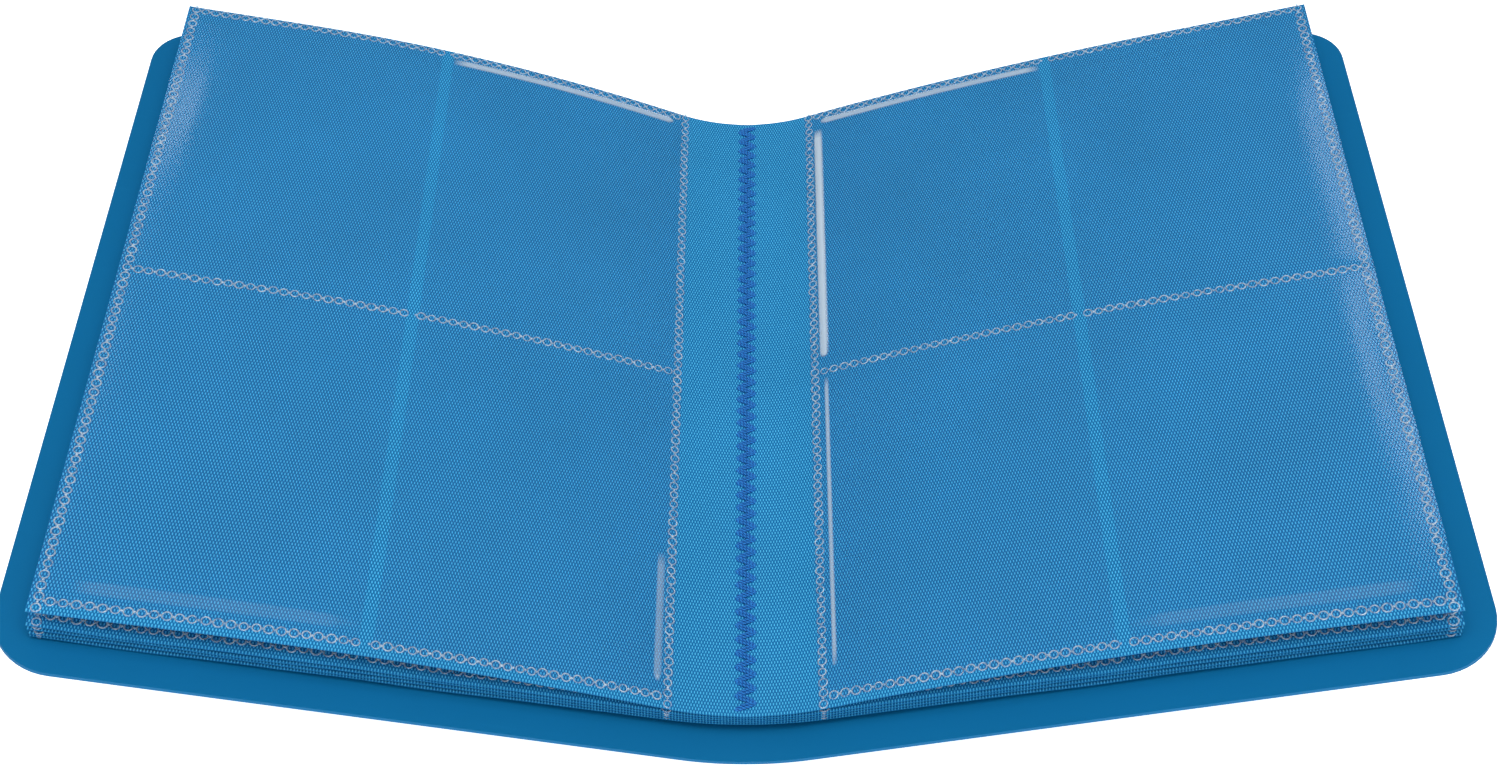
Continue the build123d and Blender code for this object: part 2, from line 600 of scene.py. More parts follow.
@dataclass(frozen=True)
class MatteCover:
    """Smooth coloured sheet with a fine matte grain."""

    colour: Colour = (0.002, 0.146, 0.345)
    scuffed: Colour = (0.004, 0.168, 0.385)
    roughness: float = 0.6

    def material(self) -> bpy.types.Material:
        """Builds the material."""
        material, w, surface = new_material("matte_cover")
        place = w.node("TexCoord").outputs["Object"]
        grain = EFFECTS.use(w, "fine_grain", Map=place)
        tone = EFFECTS.use(w, "mottle", Map=place, Scale=14.0, Amount=0.16)
        colour = w.mix(w.math("MULTIPLY", grain.outputs["Scuff"], 0.25), opaque(self.colour), opaque(self.scuffed))
        toned = w.scaled(colour, tone.outputs["Tone"])
        rough = w.math("MULTIPLY_ADD", grain.outputs["Scuff"], -0.08, self.roughness)
        look = {"Base_Color": toned, "Roughness": rough, "Specular_IOR_Level": 0.08}
        w.skin(surface, grain.outputs["Height"], strength=0.12, depth=0.03 * MM, **look)
        return material


@dataclass(frozen=True)
class DottedWeave:
    """Woven-look sheet with a lighter dot where each fill thread crosses over."""

    ground: Colour = (0.003, 0.148, 0.385)
    dot: Colour = (0.075, 0.490, 0.830)
    across: float = 0.72 * MM
    along: float = 1.70 * MM

    def material(self) -> bpy.types.Material:
        """Builds the material."""
        material, w, surface = new_material("dotted_weave")
        flat = w.node("UVMap", {"uv_map": "flat"}).outputs[0]
        weave = EFFECTS.use(w, "dot_weave", Map=flat, Across=self.across, Along=self.along)
        tone = EFFECTS.use(w, "mottle", Map=flat, Scale=26.0, Amount=0.22)
        colour = w.mix(weave.outputs["Dots"], opaque(self.ground), opaque(self.dot))
        toned = w.scaled(colour, tone.outputs["Tone"])
        rough = w.spread(weave.outputs["Dots"], 0.0, 1.0, 0.62, 0.48)
        look = {"Base_Color": toned, "Roughness": rough, "Specular_IOR_Level": 0.15}
        w.skin(surface, weave.outputs["Height"], strength=0.6, depth=0.06 * MM, **look)
        return material


@dataclass(frozen=True)
class ClearFilm:
    """Glossy clear pocket film; where it lifts off the sheet a pale diffuse share is mixed in, partly milky haze and
    partly painted glints.
    """

    passed: Colour = (0.95, 0.975, 0.99)
    mist_and_glint_colour: Colour = (0.72, 0.86, 0.97)
    roughness: float = 0.10
    ior: float = 1.5

    def material(self) -> bpy.types.Material:
        """Builds the material."""
        material, w, surface = new_material("clear_film")
        # per-point pale share: milky haze where the film lifts, and painted glints on the lifted bars
        cloud = w.node("Attribute", {"attribute_name": "cloud"}).outputs["Fac"]
        flat = w.node("UVMap", {"uv_map": "flat"}).outputs[0]
        tone = EFFECTS.use(w, "mottle", Map=flat, Scale=18.0, Amount=0.9)
        mist_and_glint_share = w.math("MULTIPLY", w.math("MULTIPLY_ADD", cloud, 0.75, 0.004), tone.outputs["Tone"])
        clear = w.node("BsdfTransparent", Color=opaque(self.passed))
        mist_and_glint_shader = w.node("BsdfPrincipled", Base_Color=opaque(self.mist_and_glint_colour), Roughness=0.35)
        body = w.either(mist_and_glint_share, clear, mist_and_glint_shader)
        gloss = w.node("BsdfPrincipled", Base_Color=(1, 1, 1, 1), Metallic=1.0, Roughness=self.roughness)
        edge = w.node("Fresnel", IOR=self.ior)
        outside = w.math("SUBTRACT", 1.0, w.node("NewGeometry").outputs["Backfacing"])
        mirrored = w.math("MULTIPLY", edge.outputs[0], outside)
        w.set(surface, w.either(mirrored, body, gloss).outputs[0])
        return material


@dataclass(frozen=True)
class WeldPlastic:
    """Clear plastic squeezed up in a weld, milky and very glossy."""

    milk: Colour = (0.66, 0.82, 0.97)
    roughness: float = 0.12

    def material(self) -> bpy.types.Material:
        """Builds the material."""
        material, w, surface = new_material("weld_plastic")
        place = w.node("TexCoord").outputs["Object"]
        tone = EFFECTS.use(w, "mottle", Map=place, Scale=900.0, Amount=3.0)
        share = w.math("MULTIPLY", tone.outputs["Tone"], 0.50)
        clear = w.node("BsdfTransparent", Color=(0.80, 0.90, 0.97, 1.0))
        coat = {"Coat_Weight": 1.0, "Coat_Roughness": 0.08}
        milk = w.node("BsdfPrincipled", Base_Color=opaque(self.milk), Roughness=self.roughness, **coat)
        w.set(surface, w.either(share, clear, milk).outputs[0])
        return material


@dataclass(frozen=True)
class SewingThread:
    """Dark royal blue twisted thread, with painted shade in the grooves between its plies."""

    crest: Colour = (0.014, 0.200, 0.600)
    groove: Colour = (0.003, 0.055, 0.270)
    lay: float = 0.9 * MM

    def material(self) -> bpy.types.Material:
        """Builds the material."""
        material, w, surface = new_material("sewing_thread")
        flat = w.node("UVMap", {"uv_map": "flat"}).outputs[0]
        twist = EFFECTS.use(w, "twist", Map=flat, Lay=self.lay)
        # the grooves between the plies get a darker colour: painted shade
        colour = w.mix(twist.outputs["Groove"], opaque(self.crest), opaque(self.groove))
        rough = w.spread(twist.outputs["Height"], 0.0, 1.0, 0.75, 0.5)
        look = {"Base_Color": colour, "Roughness": rough, "Sheen_Weight": 0.05, "Specular_IOR_Level": 0.25}
        w.skin(surface, twist.outputs["Height"], strength=0.7, depth=0.12 * MM, **look)
        return material


@dataclass(frozen=True)
class WovenTape:
    """Plain woven tape of the strip that the sheets are sewn through, painted darker where its threads dip: painted
    shade.
    """

    high: Colour = (0.024, 0.230, 0.510)
    low: Colour = (0.008, 0.110, 0.300)

    def material(self) -> bpy.types.Material:
        """Builds the material."""
        material, w, surface = new_material("woven_tape")
        place = w.node("TexCoord").outputs["Object"]
        weave = EFFECTS.use(w, "tape_weave", Map=place)
        # the low colour in the weave's troughs is painted shade
        colour = w.mix(weave.outputs["Height"], opaque(self.low), opaque(self.high))
        look = {"Base_Color": colour, "Roughness": 0.8}
        w.skin(surface, weave.outputs["Height"], strength=0.6, depth=0.08 * MM, **look)
        return material


@dataclass(frozen=True)
class Finishes:
    """The materials of the album."""

    cover: bpy.types.Material
    weave: bpy.types.Material
    film: bpy.types.Material
    weld: bpy.types.Material
    thread: bpy.types.Material
    tape: bpy.types.Material


def make_finishes() -> Finishes:
    """Builds every material once."""
    return Finishes(
        cover=MatteCover().material(),
        weave=DottedWeave().material(),
        film=ClearFilm().material(),
        weld=WeldPlastic().material(),
        thread=SewingThread().material(),
        tape=WovenTape().material(),
    )


def dress(piece: Piece, material: bpy.types.Material) -> None:
    """Gives a piece one material."""
    piece.data.materials.clear()
    piece.data.materials.append(material)


# ---- cover -----------------------------------------------------------------------------------------------------


@dataclass
class Cover:
    """The wrap-round cover, made of two halves that meet in the middle of the spine."""

    finishes: Finishes
    sizes: CoverSizes = COVER
    corner_steps: int = 12
    bend_steps: int = 14
    seam: float = 0.05 * MM

    def build(self) -> None:
        """Makes both halves."""
        for side in Side:
            self._half(side)

    def _flat_half(self, name: str) -> Piece:
        """One half laid flat: x is the distance from the spine's middle and z is the depth."""
        size = self.sizes
        nothing_selected()
        bpy.ops.mesh.primitive_plane_add(size=1, location=(size.reach / 2, 0, 0))
        piece = bpy.context.object
        piece.name = name
        piece.scale = (size.reach, size.height, 1)
        bpy.ops.object.transform_apply(location=True, rotation=False, scale=True)
        bpy.ops.object.mode_set(mode="EDIT")
        bpy.ops.mesh.select_all(action="DESELECT")
        bm = bmesh.from_edit_mesh(piece.data)
        for v in bm.verts:
            v.select = v.co.x > size.reach / 2
        bm.select_flush_mode()
        bmesh.update_edit_mesh(piece.data)
        bpy.ops.mesh.bevel(offset=size.corner, affect="VERTICES", segments=self.corner_steps, profile=0.5)
        arc = size.bend_radius * radians(size.slope)
        for share in range(1, self.bend_steps + 1):
            bpy.ops.mesh.select_all(action="SELECT")
            bpy.ops.mesh.bisect(plane_co=(arc * share / self.bend_steps, 0, 0), plane_no=(1, 0, 0))
        bpy.ops.mesh.select_all(action="SELECT")
        bpy.ops.mesh.extrude_region_move(TRANSFORM_OT_translate={"value": (0, 0, -size.thickness)})
        bpy.ops.mesh.select_all(action="SELECT")
        bpy.ops.mesh.normals_make_consistent(inside=False)
        bpy.ops.mesh.select_all(action="DESELECT")
        bm = bmesh.from_edit_mesh(piece.data)
        for e in bm.edges:
            level = abs(e.verts[0].co.z - e.verts[1].co.z) < self.seam
            outer = max(v.co.x for v in e.verts) > self.seam
            folded = len(e.link_faces) == 2 and e.calc_face_angle() > radians(size.edge_fold)
            e.select = level and outer and folded
        bmesh.update_edit_mesh(piece.data)
        bpy.ops.mesh.bevel(offset=size.edge_round, affect="EDGES", segments=3, profile=0.6)
        bpy.ops.object.mode_set(mode="OBJECT")
        return piece

    def _half(self, side: Side) -> None:
        """One half, bent to the open album's curve."""
        name = f"{side.word}_cover_sheet"
        piece = self._flat_half(name)
        mesh = piece.data
        flat = np.zeros(len(mesh.vertices) * 3, np.float32)
        mesh.vertices.foreach_get("co", flat)
        flat = flat.reshape(-1, 3)
        x, z = cover_profile().at(np.maximum(flat[:, 0], 0.0), flat[:, 2])
        mesh.vertices.foreach_set("co", np.stack([side.value * x, flat[:, 1], z], -1).astype(np.float32).ravel())
        if side is Side.FRONT:
            mesh.flip_normals()
        mesh.update()
        smooth(piece)
        dress(piece, self.finishes.cover)
        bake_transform(piece)
        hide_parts(f"{side.word}_cover", *(["spine_panel"] if side is Side.BACK else []))
        log.info("%s: half of the cover, %d points", name, len(mesh.vertices))


# ---- leaves ----------------------------------------------------------------------------------------------------


@dataclass(frozen=True)
class Lift:
    """A narrow stretch where a film stands off its sheet, beside a weld; its pale share is partly milky haze and partly
    a painted glint.
    """

    column: Column
    upright: bool
    place: float
    start: float
    end: float
    width: float
    height: float
    # pale share of the band: milky haze plus a painted glint
    cloud: float = 0.0

    def over(self, s: Array, y: Array) -> Array:
        """Its share of full height at each place, from 0 to 1."""
        across, along = (s, y) if self.upright else (y, s)
        off = np.clip(np.abs(across - self.place) / self.width, 0, 1)
        low, high = min(self.start, self.end), max(self.start, self.end)
        ends = ramp(along, low - self.width, low + self.width) * (1 - ramp(along, high - self.width, high + self.width))
        return (0.5 + 0.5 * np.cos(np.pi * off)) * ends


@dataclass
class Leaf:
    """One leaf: its woven sheet, the bare strip by the stitch, both films and their welds."""

    side: Side
    number: int
    finishes: Finishes
    lifts: tuple[Lift, ...] = ()
    crown: float = 0.0
    proud: float = 0.0
    coarse: float = 4.0 * MM
    fine: float = 0.45 * MM
    film_thickness: float = 0.06 * MM
    film_contact: float = 0.02 * MM
    film_slack: float = 0.14 * MM
    film_tail: float = 1.0 * MM
    weld_pitch: float = 2.8 * MM
    weld_end: float = 1.2 * MM
    weld_inset: float = 2.6 * MM
    weld_near: float = 0.6 * MM
    weld_jitter: float = 0.05 * MM
    wave_height: float = 0.22 * MM
    wave_reach: float = 60 * MM
    stitch_pucker: float = 0.22 * MM
    pucker_width: float = 2.4 * MM
    pucker_pitch: float = 3.8 * MM
    gutter_step: float = 0.55 * MM
    bend_steps: tuple[float, float] = (0.5 * MM, 3 * MM)
    page_steps: tuple[float, float] = (4 * MM, 6 * MM)
    page_tail: float = 20 * MM
    fine_inner: float = 6 * MM
    fine_tail: float = 9 * MM
    fine_middle: tuple[float, float] = (2 * MM, 6 * MM)
    fine_head: float = 7 * MM
    film_give: float = 5 * MM
    weld_base: float = 0.07 * MM
    ripple_lengths: tuple[float, float] = (11 * MM, 5.3 * MM)
    profile: Profile = field(init=False)

    def __post_init__(self) -> None:
        """Works out the leaf's own curve."""
        self.profile = sheet_profile(self.number)

    @property
    def top(self) -> bool:
        """True for the two leaves that lie on top of the piles."""
        return self.number == 1

    def called(self, kind: str) -> str:
        """The name of one of the leaf's pieces."""
        return f"{self.side.word}_{kind}_{self.number}"

    @property
    def body(self) -> str:
        """The CAD body the leaf is."""
        return self.called("leaf")

    def wave(self, s: Array, y: Array) -> Array:
        """How far the leaf stands above its plain curve, at each place."""
        away = ramp(s, PAGE.gutter_half, 4 * PAGE.gutter_half)
        if self.top:
            span = np.clip((s - PAGE.gutter_half) / (PAGE.fore_weld - PAGE.gutter_half), 0, 1)
            return self.crown * np.sin(np.pi * span) * ramp(y, PAGE.page_offset - 0.02, PAGE.high)
        turn = 2.1 * self.number + (0.8 if self.side is Side.FRONT else 0.0)
        tail = 1 - ramp(y, PAGE.low, PAGE.low + self.wave_reach)
        head = ramp(y, PAGE.high - self.wave_reach, PAGE.high)
        long, short = self.ripple_lengths
        ripple = np.sin(s / long + turn) + 0.6 * np.sin(s / short + 2 * turn)
        return self.wave_height * away * ripple * (tail + 0.6 * head)

    def place(self, s: Array, y: Array, offset: Array) -> Array:
        """Points on the leaf, moved along its normal.

        Args:
            s: distances from the stitch line along the sheet.
            y: heights on the page.
            offset: how far above the middle of the sheet.

        Returns:
            The points, in the row frame.
        """
        x, z = self.profile.at(s, offset)
        return np.stack([self.side.value * x, y + 0 * x, z + self.wave(s, y)], -1)

    def _thick(self, sign: int) -> Surface:
        """The offset of one face of the sheet."""
        return lambda s, y: np.full_like(s, sign * PAGE.thickness / 2)

    def gutter(self) -> None:
        """The bare strip from the stitch line to the leaf's bend line."""
        fine_y = 0.65 * MM if self.top else 6 * MM
        pucker = self.stitch_pucker if self.top else 0.0

        def surface(s: Array, y: Array, offset: Array) -> Array:
            """The strip, drawn down a little along the stitches."""
            beat = np.cos(2 * np.pi * y / self.pucker_pitch)
            pull = np.exp(-((s / self.pucker_width) ** 2)) * (0.75 + 0.25 * beat)
            points = self.place(s, y, offset)
            points[..., 2] -= pucker * pull
            return points

        s = steps(0.0, PAGE.leaf_hinge, step=self.gutter_step)
        y = steps(PAGE.low, PAGE.high, step=fine_y)
        parts = slab_arrays(surface, s, y, self._thick(-1), self._thick(1), self.side.value)
        piece = mesh_piece(self.called("gutter_sheet"), *parts)
        smooth(piece)
        dress(piece, self.finishes.weave)
        end = float(self.profile.at(np.array(PAGE.leaf_hinge - 0.2 * MM))[0])
        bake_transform(piece)
        stood = [self.called("gutter")]
        if self.side is Side.BACK:
            stood.append(f"sheet_{self.number}_fold")
        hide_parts(*stood)

    def sheet(self) -> None:
        """The woven leaf from its bend line to the fore edge."""
        bend = PAGE.leaf_hinge + PAGE.leaf_bend
        s = steps(PAGE.leaf_hinge, bend, PAGE.reach, step=self.bend_steps)
        y = steps(PAGE.low, PAGE.low + self.page_tail, PAGE.high, step=self.page_steps)
        parts = slab_arrays(self.place, s, y, self._thick(-1), self._thick(1), self.side.value)
        piece = mesh_piece(self.called("leaf_sheet"), *parts)
        smooth(piece)
        dress(piece, self.finishes.weave)
        start, end = (float(self.profile.at(np.array(k))[0]) for k in (PAGE.leaf_hinge, bend))
        self.body
        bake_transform(piece)
        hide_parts(self.body)

    def _slack(self, s: Array, y: Array, column: Column, face: Face) -> Array:
        """How far the film stands off the sheet between its welds."""
        near, far = PAGE.column(column)
        closed = s - near if column is Column.INNER else far - s
        room = ramp(closed, 0, self.film_give)
        for weld in (PAGE.tail_weld, PAGE.middle_weld, PAGE.head_weld):
            room = room * ramp(np.abs(y - weld), 0, self.film_give)
        relief = 1.0 if self.top and face is Face.UPPER else 0.35
        ripple = 0.3 * np.sin(s / (9 * MM) + 1.3) * np.sin(y / (13 * MM) + 0.4)
        height = self.film_slack * relief * room * (1 + ripple)
        for lift in self.lifts if face is Face.UPPER else ():
            if lift.column is column:
                height = height + lift.height * lift.over(s, y)
        return height

    def _cloud(self, s: Array, y: Array, column: Column, face: Face) -> Array:
        """How pale the film is painted, from 0 to 1: partly milky haze, partly painted glints on the lifts."""
        cloud = 0 * s
        for lift in self.lifts if face is Face.UPPER else ():
            if lift.column is column:
                cloud = cloud + lift.cloud * ramp(lift.over(s, y), 0.30, 0.62)
        return np.clip(cloud, 0, 1)

    def film(self, face: Face) -> None:
        """The film of one face: two panels with the pocket mouths between them."""
        dense = self.top and face is Face.UPPER
        parts, mists_and_painted_glints = [], []
        for column in Column:
            near, far = PAGE.column(column)
            if column is Column.INNER:
                s = steps(near - PAGE.weld_overlap, near + self.fine_inner, far, step=(self.fine, self.coarse))
            else:
                s = steps(near, PAGE.reach, step=self.coarse)
            head = PAGE.high + (self.proud if column is Column.OUTER and face is Face.UPPER else 0.0)
            tail = PAGE.tail_weld - self.film_tail
            if not dense:
                s = steps(float(s[0]), float(s[-1]), step=self.coarse)
            below, above = PAGE.middle_weld - self.fine_middle[0], PAGE.middle_weld + self.fine_middle[1]
            y = steps(
                tail, tail + self.fine_tail, below, above, PAGE.high - self.fine_head, head,
                step=(self.fine, self.coarse, self.fine, self.coarse, self.fine) if dense else self.coarse,
            )
            base = PAGE.thickness / 2 + self.film_contact

            def side_of_film(beyond: float) -> Surface:
                """One side of the film, this far beyond the side that faces the sheet."""
                return lambda a, b: face.value * (base + beyond + self._slack(a, b, column, face))

            low, high = (side_of_film(k) for k in (0.0, self.film_thickness)[:: face.value])
            part = slab_arrays(self.place, s, y, low, high, self.side.value)
            parts.append(part)
            flat = part[2] * (self.side.value, 1)
            # the pale share, haze plus painted glints, is stored per point on the film
            mists_and_painted_glints.append(self._cloud(flat[:, 0], flat[:, 1], column, face))
        piece = mesh_piece(self.called(f"{face.word}_film"), *joined(parts))
        attribute = piece.data.attributes.new("cloud", "FLOAT", "POINT")
        attribute.data.foreach_set("value", np.concatenate(mists_and_painted_glints).astype(np.float32))
        smooth(piece)
        dress(piece, self.finishes.film)
        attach(piece, self.body)
        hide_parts(self.called(f"{face.word}_films"))

    def weld_rows(self) -> list[tuple[Array, Array, bool]]:
        """Where the rings of each weld go: distances, heights, and True where the row runs up the page."""
        upright = steps(PAGE.low + self.weld_end, PAGE.high - self.weld_end, step=self.weld_pitch)
        rows = [(np.full_like(upright, s), upright, True) for s in (PAGE.gutter_half, PAGE.fore_weld)]
        for column in Column:
            near, far = PAGE.column(column)
            first = near + (self.weld_inset if column is Column.INNER else self.weld_near)
            last = far - (self.weld_inset if column is Column.OUTER else self.weld_near)
            level = steps(first, last, step=self.weld_pitch)
            for weld in (PAGE.tail_weld, PAGE.middle_weld, PAGE.head_weld - self.weld_near):
                rows.append((level, np.full_like(level, weld), False))
        return rows

    def welds(self, beads: "BeadPatterns") -> None:
        """The rings and dots of all weld rows, on both faces."""
        chance = np.random.default_rng(100 * self.number + self.side.value + 1)
        points, faces, start = [], [], 0
        for face in Face:
            tall = 1.0 if self.top and face is Face.UPPER else 0.5
            base = PAGE.thickness / 2 + self.weld_base
            for s, y, upright in self.weld_rows():
                ring = (s + chance.normal(0, self.weld_jitter, len(s)), y + chance.normal(0, self.weld_jitter, len(s)))
                half = self.weld_pitch / 2
                dot = (s + (0 if upright else half), y + (half if upright else 0))
                for pattern, (a, b) in ((beads.ring, ring), (beads.dot, dot)):
                    grow = chance.uniform(0.9, 1.08, len(a))
                    points.append(self._copies(pattern, a, b, face, base, tall, grow))
                    turned = pattern.faces if face.value * self.side.value > 0 else pattern.turned
                    for _ in range(len(a)):
                        faces += [tuple(i + start for i in f) for f in turned]
                        start += len(pattern.points)
        piece = mesh_piece(self.called("weld_beads"), np.concatenate(points), faces)
        smooth(piece, 180)
        dress(piece, self.finishes.weld)
        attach(piece, self.body)

    def _copies(
        self, pattern: "Pattern", s: Array, y: Array, face: Face, base: float, tall: float, grow: Array
    ) -> Array:
        """Points of one copy of a pattern at each place, laid on a face of the leaf."""
        local = pattern.points
        away_s = local[None, :, 0] * grow[:, None]
        away_y = local[None, :, 1] * grow[:, None]
        offset = face.value * (base + tall * local[None, :, 2])
        placed = self.place(s[:, None] + away_s, y[:, None] + away_y, offset + 0 * away_s)
        return placed.reshape(-1, 3)

    def build(self, beads: "BeadPatterns") -> None:
        """Makes every piece of the leaf."""
        self.gutter()
        self.sheet()
        for face in Face:
            self.film(face)
        self.welds(beads)
        log.info("%s: sheet, gutter strip, two films and welds", self.body)


@dataclass(frozen=True)
class Pattern:
    """Points and faces of a small shape that is copied many times."""

    points: Array
    faces: list
    turned: list


class BeadPatterns:
    """The ring and the dot that a weld leaves, each modelled once."""

    ring_radius: float = 1.02 * MM
    ring_wire: float = 0.20 * MM
    dot_radius: float = 0.36 * MM

    def __init__(self) -> None:
        """Models both shapes and keeps their points."""
        nothing_selected()
        bpy.ops.mesh.primitive_torus_add(
            major_radius=self.ring_radius, minor_radius=self.ring_wire, major_segments=10, minor_segments=4
        )
        self.ring = self._take(bpy.context.object)
        nothing_selected()
        bpy.ops.mesh.primitive_ico_sphere_add(subdivisions=1, radius=self.dot_radius)
        self.dot = self._take(bpy.context.object)

    @staticmethod
    def _take(piece: Piece) -> Pattern:
        """Reads a shape's mesh and removes the shape."""
        mesh = piece.data
        points = np.array([v.co for v in mesh.vertices], float)
        faces = [tuple(p.vertices) for p in mesh.polygons]
        bpy.data.objects.remove(piece)
        bpy.data.meshes.remove(mesh)
        return Pattern(points, faces, [f[::-1] for f in faces])


def top_lifts(side: Side) -> tuple[Lift, ...]:
    """Where the films of the top leaves stand off the sheet, each with a pale band painted on it: partly milky haze,
    partly painted glints.
    """
    inner, outer = PAGE.column(Column.INNER), PAGE.column(Column.OUTER)
    beside = PAGE.gutter_half + 2.7 * MM
    head = PAGE.head_weld - 3.2 * MM
    # the pale shares below paint glints on the bars, with some milky haze
    lifts = [
        Lift(Column.INNER, False, head, inner[0] + 4 * MM, inner[1] - 1 * MM, 1.7 * MM, 0.45 * MM, cloud=0.55),
        Lift(
            Column.OUTER, False, PAGE.tail_weld + 4.5 * MM, outer[0] + 4 * MM, outer[1] - 8 * MM, 3.0 * MM,
            0.02 * MM, cloud=0.035,
        ),
    ]
    if side is Side.BACK:
        up = (PAGE.middle_weld + 5 * MM, PAGE.head_weld - 7 * MM)
        lifts.append(Lift(Column.INNER, True, beside, *up, 2.0 * MM, 0.55 * MM, cloud=0.80))
        down = (PAGE.tail_weld + 8 * MM, PAGE.middle_weld - 4 * MM)
        lifts.append(Lift(Column.INNER, True, beside + 0.3 * MM, *down, 0.9 * MM, 0.20 * MM, cloud=0.45))
    else:
        foot = PAGE.tail_weld + 4.5 * MM
        lifts.append(Lift(Column.INNER, True, beside, foot, foot + 34 * MM, 1.5 * MM, 0.18 * MM, cloud=0.22))
        lifts.append(Lift(Column.INNER, True, beside, foot - 0.5 * MM, foot + 0.5 * MM, 1.8 * MM, 0.35 * MM, cloud=0.5))
    return tuple(lifts)


@dataclass
class Booklet:
    """All leaves on both sides of the stitch."""

    finishes: Finishes

    def build(self) -> None:
        """Makes the leaves from the top of each pile down."""
        beads = BeadPatterns()
        for side in Side:
            for number in range(1, PAGE.count + 1):
                leaf = Leaf(side, number, self.finishes)
                if leaf.top:
                    leaf.lifts = top_lifts(side)
                    leaf.crown = 1.7 * MM if side is Side.FRONT else -0.9 * MM
                    leaf.proud = 1.0 * MM if side is Side.FRONT else 0.0
                leaf.build(beads)


# ---- spine -----------------------------------------------------------------------------------------------------


@dataclass
class Stitching:
    """The zigzag of doubled thread down the middle of the booklet."""

    finishes: Finishes
    width: float = 5.7 * MM
    pitch: float = 3.8 * MM
    strand: float = 0.72 * MM
    bare_end: float = 1.2 * MM
    sink: float = 0.15 * MM
    parting: float = 1.15
    hole_depth: float = 0.45
    arch: float = 1.5
    bluntness: float = 0.6
    sides: int = 8
    spans: int = 6

    def _leg(self, start: Vector, end: Vector, shift: float, floor: float) -> tuple[Array, list, Array]:
        """One strand between two needle holes.

        Args:
            start: the first needle hole.
            end: the next one, on the other side.
            shift: how far the strand bows along the stitch line at its middle.
            floor: height of the cloth under the strand.

        Returns:
            Points, faces and map places.
        """
        t = np.linspace(0, 1, self.spans + 1)
        bow = np.sin(np.pi * t)
        radius = self.strand / 2
        line = np.stack(
            [
                start.x + (end.x - start.x) * t,
                start.y + (end.y - start.y) * t + shift * np.sqrt(bow.clip(0, 1)),
                floor - self.hole_depth * radius + self.arch * radius * bow**self.bluntness,
            ],
            -1,
        )
        forward = np.gradient(line, axis=0)
        forward /= np.linalg.norm(forward, axis=1, keepdims=True)
        across = np.cross(forward, (0.0, 0.0, 1.0))
        across /= np.linalg.norm(across, axis=1, keepdims=True)
        up = np.cross(across, forward)
        turn = 2 * np.pi * np.arange(self.sides) / self.sides
        ring = np.cos(turn)[None, :, None] * across[:, None] + np.sin(turn)[None, :, None] * up[:, None]
        points = (line[:, None] + radius * ring).reshape(-1, 3)
        faces = []
        for i in range(self.spans):
            for j in range(self.sides):
                a, b = i * self.sides + j, i * self.sides + (j + 1) % self.sides
                faces.append((a, a + self.sides, b + self.sides, b))
        last = self.spans * self.sides
        faces.append(tuple(range(self.sides)))
        faces.append(tuple(last + j for j in reversed(range(self.sides))))
        length = np.linalg.norm(np.diff(line, axis=0), axis=1).sum()
        flat = np.stack([np.repeat(t * length, self.sides), np.tile(turn / (2 * np.pi), self.spans + 1)], -1)
        return points, faces, flat

    def build(self) -> None:
        """Makes every leg of the zigzag as one piece."""
        floor = float(sheet_profile(1).at(np.array(0.0), PAGE.thickness / 2)[1]) - self.sink
        length = PAGE.height - 2 * self.bare_end
        count = int(length // (self.pitch / 2))
        low = PAGE.page_offset - count * self.pitch / 4
        half = (self.width - self.strand) / 2
        holes = [Vector((half if i % 2 else -half, low + i * self.pitch / 2, 0)) for i in range(count + 1)]
        parts = []
        for start, end in zip(holes, holes[1:]):
            for shift in (-0.5, 0.5):
                parts.append(self._leg(start, end, shift * self.parting * self.strand, floor))
        piece = mesh_piece("zigzag_stitching", *joined(parts))
        smooth(piece, 60)
        dress(piece, self.finishes.thread)
        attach(piece, "spine")
        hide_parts("zigzag_thread")
        log.info("zigzag_stitching: %d legs of doubled thread", count)


def dress_binding(finishes: Finishes) -> None:
    """The strip that the sheets are sewn through keeps its CAD shape."""
    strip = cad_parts["binding_strip"]
    strip.data.materials.clear()
    strip.data.materials.append(finishes.tape)
    log.info("binding_strip: dressed as woven tape")


# ---- studio ----------------------------------------------------------------------------------------------------


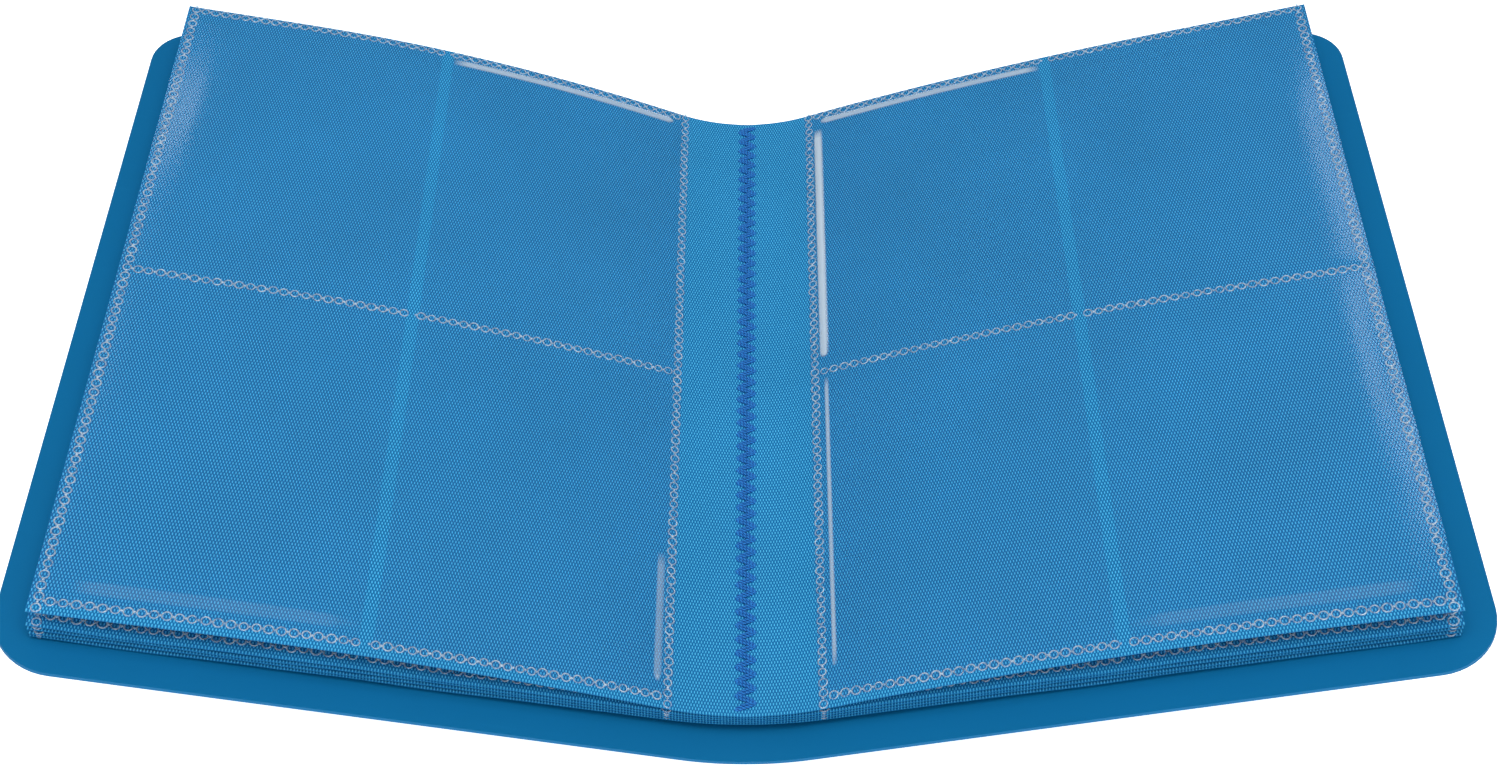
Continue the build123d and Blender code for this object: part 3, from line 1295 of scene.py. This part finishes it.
@dataclass
class Studio:
    """Camera, lights and floor."""

    target: tuple[float, float, float] = (1.0 * MM, -7.2 * MM, 21.55 * MM)
    distance: float = 0.5
    azimuth: float = 0.2845
    elevation: float = 50.865
    roll: float = -0.2819
    lens: float = 47.76
    sensor: float = 36.0
    clip: tuple[float, float] = (0.01, 20.0)
    floor_radius: float = 3.0
    floor_drop: float = 0.2 * MM
    surround: float = 0.5
    mirrored_less: float = 0.43

    def camera(self) -> None:
        """The camera, looking down over the bottom edge of the pages."""
        az, el, roll = (radians(v) for v in (self.azimuth, self.elevation, self.roll))
        back = Vector((sin(az) * cos(el), -cos(az) * cos(el), sin(el)))
        right = (-back).cross(Vector((0, 0, 1))).normalized()
        up = right.cross(-back)
        across = right * cos(roll) + up * sin(roll)
        upward = up * cos(roll) - right * sin(roll)
        turned = Matrix((across, upward, back)).transposed()
        data = bpy.data.cameras.new("camera")
        data.lens, data.sensor_width = self.lens, self.sensor
        data.clip_start, data.clip_end = self.clip
        camera = placed("camera", data)
        camera.matrix_world = Matrix.Translation(Vector(self.target) + back * self.distance) @ turned.to_4x4()
        bpy.context.scene.camera = camera

    def softbox(
        self, name: str, direction: tuple[float, float, float], distance: float, size: tuple[float, float], power: float
    ) -> None:
        """A rectangular lamp that faces the album.

        Args:
            name: the lamp's name.
            direction: from the album to the lamp.
            distance: how far away it is.
            size: its width and height.
            power: its power in watts.
        """
        data = bpy.data.lights.new(name, "AREA")
        data.shape, data.size, data.size_y, data.energy = "RECTANGLE", *size, power
        lamp = placed(name, data)
        away = Vector(direction).normalized()
        lamp.location = Vector(self.target) + away * distance
        lamp.rotation_mode = "QUATERNION"
        lamp.rotation_quaternion = away.to_track_quat("Z", "Y")

    def lights(self) -> None:
        """Three softboxes and a soft surround that mirrors only faintly."""
        self.softbox("back_box", (-0.025, 0.631, 0.776), 5.0, (0.10, 1.25), 1.2)
        self.softbox("overhead_box", (0, -0.12, 1.0), 1.3, (1.2, 0.6), 6.5)
        self.softbox("front_box", (0.1, -0.45, 0.95), 1.6, (1.6, 0.9), 8.0)
        world = bpy.data.worlds.new("surround")
        bpy.context.scene.world = world
        world.use_nodes = True
        world.node_tree.nodes.clear()
        w = Wiring(world.node_tree)
        path = w.node("LightPath")
        plain = w.math("MULTIPLY_ADD", path.outputs["Is Camera Ray"], 1 - self.surround, self.surround)
        strength = w.math("MULTIPLY_ADD", path.outputs["Is Glossy Ray"], -self.mirrored_less, plain)
        background = w.node("Background", Color=(1, 1, 1, 1), Strength=strength)
        output = w.tree.nodes.new("ShaderNodeOutputWorld")
        w.set(output.inputs["Surface"], background.outputs[0])

    def floor(self) -> None:
        """A plain pale floor under the album."""
        nothing_selected()
        bpy.ops.mesh.primitive_circle_add(vertices=96, radius=self.floor_radius, fill_type="NGON")
        floor = bpy.context.object
        floor.name = "floor"
        floor.location.z = -self.floor_drop
        material, w, surface = new_material("pale_floor")
        place = w.node("TexCoord").outputs["Object"]
        tone = EFFECTS.use(w, "mottle", Map=place, Scale=3.0, Amount=0.02)
        grey = w.node("CombineColor")
        for socket in grey.inputs[:3]:
            w.set(socket, w.math("MULTIPLY", tone.outputs["Tone"], 0.9))
        glow = {"Emission_Color": (1, 1, 1, 1), "Emission_Strength": 0.9}
        shader = w.node("BsdfPrincipled", Base_Color=grey.outputs[0], Roughness=0.9, **glow)
        w.set(surface, shader.outputs[0])
        floor.data.materials.append(material)

    def build(self) -> None:
        """Sets up the whole studio."""
        self.camera()
        self.lights()
        self.floor()
        bpy.context.scene.view_settings.view_transform = "Standard"
        log.info("studio: camera, softboxes and floor")


def main() -> None:
    """Builds the album, piece by piece."""
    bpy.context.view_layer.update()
    nothing_selected()
    Studio().build()
    finishes = make_finishes()
    Cover(finishes).build()
    Booklet(finishes).build()
    Stitching(finishes).build()
    dress_binding(finishes)


if __name__ == "__main__":
    main()
